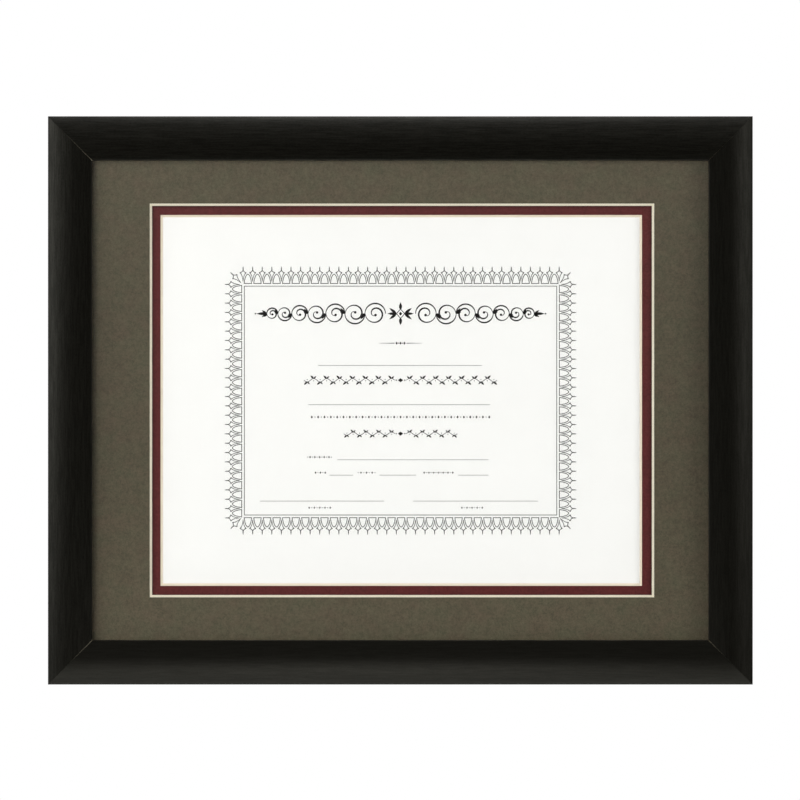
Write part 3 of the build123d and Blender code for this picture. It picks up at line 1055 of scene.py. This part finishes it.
def scroll_flourish(sheet, half_length, height):
    """A running scroll to both sides of a rosette, with leaves where its turns meet."""
    radii = [5.75 * MM, 5.6 * MM, 5.35 * MM, 5.0 * MM, 4.5 * MM, 3.9 * MM, 3.1 * MM]
    line = 0.78 * MM
    first_turn = 8.4 * MM
    rosette = 2.2 * MM
    turn_steps = 24
    for side in (1, -1):
        x = first_turn
        up = 1
        for radius in radii:
            centre = x + radius
            points, widths = [], []
            for step in range(turn_steps + 1):
                share = step / turn_steps
                angle = pi - up * pi * share
                points.append((side * (centre + radius * cos(angle)), height + radius * sin(angle)))
                widths.append(line * (0.5 + 0.55 * sin(pi * share)))
            sheet.stroke(points, widths)
            start = 0.0 if side > 0 else pi
            inner_line = line * (0.6 + 0.4 * radius / radii[0])
            volute(sheet, side * centre, height, radius * 0.98, start, -up * side, inner_line)
            x += 2 * radius
            for lean, size in ((52, 1.0), (18, 0.72)):
                length, width = 0.72 * radius * size, 1.35 * MM * size
                sheet.shape(leaf(side * x, height, -up * lean, side, length, width))
            up = -up
        tip = half_length - x
        sheet.shape(leaf(side * x, height, 0, side, tip, 1.6 * MM))
        sheet.dot(side * (half_length + 0.5 * MM), height, 0.45 * MM)
        for lean in (35, -35):
            sheet.shape(leaf(side * x, height, lean, side, tip * 0.6, 1.1 * MM))
        for lean in (0, 38, -38):
            sheet.shape(leaf(side * rosette, height, lean, side, 5.2 * MM, 1.5 * MM))
    for way in (1, -1):
        sheet.shape(leaf(0, height + way * rosette, 90 * way, 1, 4.2 * MM, 1.7 * MM))
    sheet.stroke(diamond(0, height, 2.3 * MM, 2.6 * MM), 0.42 * MM, closed=True)
    sheet.shape(diamond(0, height, 0.95 * MM, 1.15 * MM))


def vine(sheet, half_length, height, swing, wave, leaf_length):
    """A wavy stem with leaves above and below in turn, mirrored about a small diamond."""
    start = 3.2 * MM
    waves = max(1, round((half_length - start) / wave))
    wave_length = (half_length - start) / waves
    steps = 14 * waves
    for side in (1, -1):
        points = []
        for step in range(steps + 1):
            along = step / steps * (half_length - start)
            points.append((side * (start + along), height + swing * sin(2 * pi * along / wave_length)))
        sheet.stroke(points, 0.34 * MM)
        for index in range(2 * waves):
            above = 1 if index % 2 == 0 else -1
            x = side * (start + (index / 2 + 0.25) * wave_length)
            for lean, size in ((42, 1.0), (138, 0.8)):
                length = leaf_length * size
                sheet.shape(leaf(x, height + above * swing, above * lean, side, length, 0.42 * length))
            sheet.dot(x, height - above * swing * 0.35, 0.26 * MM)
    sheet.shape(diamond(0, height, 1.5 * MM, 1.15 * MM))
    for side in (1, -1):
        sheet.dot(side * 2.4 * MM, height, 0.38 * MM)


def beads(sheet, centre, half_length, height, pitch, size):
    """A row of small diamonds and dots in turn."""
    count = max(1, round(half_length / pitch))
    for index in range(-count, count + 1):
        x = centre + index * half_length / count
        if index % 2 == 0:
            sheet.shape(diamond(x, height, 0.75 * size, size))
        else:
            sheet.dot(x, height, 0.36 * size)


border_print = Print()
draw_border(border_print)
border_print.finish("print_border", BORDER_INK)

# Ruled blanks: from, to and height about the print's centre, in mm
blank_line = 0.28 * MM
BLANKS = (
    (-46.0, 45.5, 19.7),
    (-51.6, 49.9, -2.3),
    (-35.4, 49.1, -33.1),
    (-39.7, -26.5, -41.7),
    (-11.7, 8.7, -41.7),
    (32.3, 49.2, -41.7),
    (-78.6, -9.2, -56.2),
    (7.0, 76.8, -56.2),
)
rule_print = Print()
rule_print.stroke([(x * rule_half_width, z * rule_half_height) for x, z in CORNERS], rule_line, closed=True)
for start, end, height in BLANKS:
    rule_print.stroke(in_mm((start, height), (end, height)), blank_line)
rule_print.finish("print_rules", RULE_INK)

# Ornament inside the border: heights, half lengths and sizes about the print's centre
ornament_print = Print()
scroll_flourish(ornament_print, 80.6 * MM, 48.6 * MM)
divider_height = 32.1 * MM
for side in (1, -1):
    divider = [(side * 3.4 * MM, divider_height), (side * 12.0 * MM, divider_height)]
    ornament_print.stroke(divider, [0.42 * MM, 0.1 * MM])
beads(ornament_print, 0.0, 2.2 * MM, divider_height, 1.1 * MM, 0.85 * MM)
vine(ornament_print, 54.0 * MM, 11.4 * MM, 0.95 * MM, 7.4 * MM, 2.5 * MM)
beads(ornament_print, 0.0, 49.6 * MM, -9.2 * MM, 1.75 * MM, 0.8 * MM)
vine(ornament_print, 31.8 * MM, -18.5 * MM, 0.85 * MM, 6.4 * MM, 2.1 * MM)

# Short rows of beads beside the ruled blanks: centre, half length, height and size, in mm
BEAD_ROWS = (
    (-45.3, 6.6, -31.6, 0.72),
    (-44.8, 2.7, -40.3, 0.68),
    (-19.0, 4.7, -40.3, 0.68),
    (21.2, 8.0, -40.3, 0.68),
    (-45.2, 5.9, -59.9, 0.66),
    (40.0, 5.7, -59.9, 0.66),
)
bead_pitch = 1.4 * MM
for centre, half_length, height, size in BEAD_ROWS:
    beads(ornament_print, centre * MM, half_length * MM, height * MM, bead_pitch, size * MM)
ornament_print.finish("print_ornament", FULL_INK)


# Camera

camera_distance = 2.5
view_width = 446.85 * MM
camera_shift = Vector((-0.2 * MM, 0, 0.23 * MM))
camera_data = bpy.data.cameras.new("camera")
camera = bpy.data.objects.new("camera", camera_data)
scene.collection.objects.link(camera)
camera.location = frame_centre + camera_shift + Vector((0, -camera_distance - shoulder_height, 0))
camera.rotation_euler = (radians(90), 0, 0)
camera_data.lens = camera_data.sensor_width * camera_distance / view_width
scene.camera = camera


# Floor

floor_half_width = 1.2
floor_height = -1.35


def pale_floor():
    """A matt floor with the object's soft shadow, which the camera sees fade to white at its edge."""
    g = Graph("pale_floor")
    tone = g.shade((0.86, 0.86, 0.85), 0.99, 1.01, g.noise(60))
    matt = g.node("ShaderNodeBsdfDiffuse", Color=tone, Roughness=0.9)
    white = g.node("ShaderNodeEmission", Color=(1, 1, 1), Strength=1.0)
    from_middle = g.vector_maths("LENGTH", g.place(scale=(1, 1, 0))).outputs["Value"]
    faded = g.spread(from_middle, 0.3, 0.95 * floor_half_width, 0.4, 1.0)
    by_camera = g.node("ShaderNodeLightPath").outputs["Is Camera Ray"]
    seen = g.maths("MULTIPLY", by_camera, faded)
    return g.ended(g.mixed(seen, matt.outputs["BSDF"], white.outputs["Emission"]))


corners = [(x * floor_half_width, y * floor_half_width, floor_height) for x, y in CORNERS]
floor = bpy.data.objects.new("floor", mesh_of("floor", corners, [(0, 1, 2, 3)]))
scene.collection.objects.link(floor)
floor.data.materials.append(pale_floor())


# Light

def beam(side_angle, up_angle):
    """The direction that lies an angle to the right and an angle up from straight in front."""
    side, up = radians(side_angle), radians(up_angle)
    return Vector((sin(side) * cos(up), -cos(side) * cos(up), sin(up)))


# What shines in the reflections: side and up angles, half-angles where it is full and where it
# ends, and strength
SHINES = (
    (0, 25, 5, 30, 0.260),
    (-25, 0, 5, 30, 0.065),
    (-90, 0, 15, 50, 0.05),
    (90, 0, 15, 50, 0.05),
    (180, 0, 12, 32, 0.5),
    (150, 45, 8, 32, 1.4),
    (-135, 50, 8, 30, 0.9),
    (-150, -45, 8, 30, 0.5),
    (140, -22, 6, 26, 0.8),
    (-140, -22, 6, 26, 0.6),
)
fill_strength = 0.17


def make_world():
    """White behind the object, a soft fill, and for reflections a studio that is dark by the camera."""
    g = Graph("studio", bpy.data.worlds, "ShaderNodeOutputWorld")
    g.owner.cycles.sampling_method = "NONE"
    scene.world = g.owner

    def background(strength):
        return g.node("ShaderNodeBackground", Color=(1, 1, 1), Strength=strength).outputs["Background"]

    direction = g.node("ShaderNodeTexCoord").outputs["Generated"]
    shine = None
    for side_angle, up_angle, inner, outer, strength in SHINES:
        facing = g.vector_maths("DOT_PRODUCT", direction, beam(side_angle, up_angle)).outputs["Value"]
        lobe = g.spread(facing, cos(radians(outer)), cos(radians(inner)), 0.0, strength)
        lobe.node.interpolation_type = "SMOOTHSTEP"
        shine = lobe if shine is None else g.maths("ADD", shine, lobe)
    path = g.node("ShaderNodeLightPath").outputs
    lit = g.mixed(path["Is Glossy Ray"], background(fill_strength), background(shine))
    seen = g.maths("MAXIMUM", path["Is Camera Ray"], path["Is Transmission Ray"])
    g.ended(g.mixed(seen, lit, background(1.0)))


make_world()


def softbox(name, side_angle, up_angle, distance, size, share, shown):
    """A large soft lamp that faces the frame.

    Its direction is an angle to the right and an angle up from straight in front, and share is the
    part of plain full light that it gives to a surface at the frame's middle that faces forward.
    It lights matt surfaces, shows in reflections, or does both.
    """
    towards = beam(side_angle, up_angle)
    least_facing = 0.15
    data = bpy.data.lights.new(name, "AREA")
    data.shape = "RECTANGLE"
    data.size, data.size_y = size
    data.energy = pi**2 * distance**2 * share / max(abs(towards.y), least_facing)
    lamp = bpy.data.objects.new(name, data)
    scene.collection.objects.link(lamp)
    lamp.location = frame_centre + towards * distance
    lamp.rotation_mode = "QUATERNION"
    lamp.rotation_quaternion = towards.to_track_quat("Z", "Y")
    lamp.visible_camera = False
    lamp.visible_diffuse = shown != "reflections"
    lamp.visible_glossy = shown != "matt"


LAMPS = (
    ("key_left", -32, 5, 1.6, (1.0, 1.0), 0.6225, "matt"),
    ("key_right", 32, 5, 1.6, (1.0, 1.0), 0.0714, "matt"),
    ("side_left", -79, 0, 1.1, (0.7, 0.7), 0.0393, "matt"),
    ("side_right", 79, 0, 1.1, (0.7, 0.7), 0.2087, "matt"),
    ("left_high", -68, 16, 1.1, (0.7, 0.7), 0.0441, "both"),
    ("left_steep", -82, 8, 1.1, (0.7, 0.7), 0.0249, "both"),
    ("right_high", 64, 14, 1.1, (0.7, 0.7), 0.0728, "both"),
    ("top_strip", 0, 94, 0.8, (0.45, 0.25), 0.0412, "both"),
    ("top_high", 0, 68, 1.1, (0.9, 0.5), 0.0172, "both"),
    ("near_left", -52, 0, 0.55, (0.15, 0.4), 0.0054, "reflections"),
    ("near_upper_left", -52, 20, 0.55, (0.15, 0.2), 0.0096, "reflections"),
    ("near_top", 0, 50, 0.5, (0.5, 0.15), 0.0189, "reflections"),
    ("near_bottom", -10, -50, 0.5, (0.5, 0.15), 0.0717, "reflections"),
    ("near_bottom_middle", 0, -50, 0.5, (0.2, 0.15), 0.0237, "reflections"),
    ("low_front", -5, -28, 0.9, (0.4, 0.12), 0.0150, "reflections"),
    ("back_left", -150, 25, 1.6, (1.0, 1.0), 0.50, "matt"),
    ("back_right", 150, 35, 1.6, (1.0, 1.0), 0.42, "matt"),
)
for lamp in LAMPS:
    softbox(*lamp)

scene.view_settings.view_transform = "Standard"
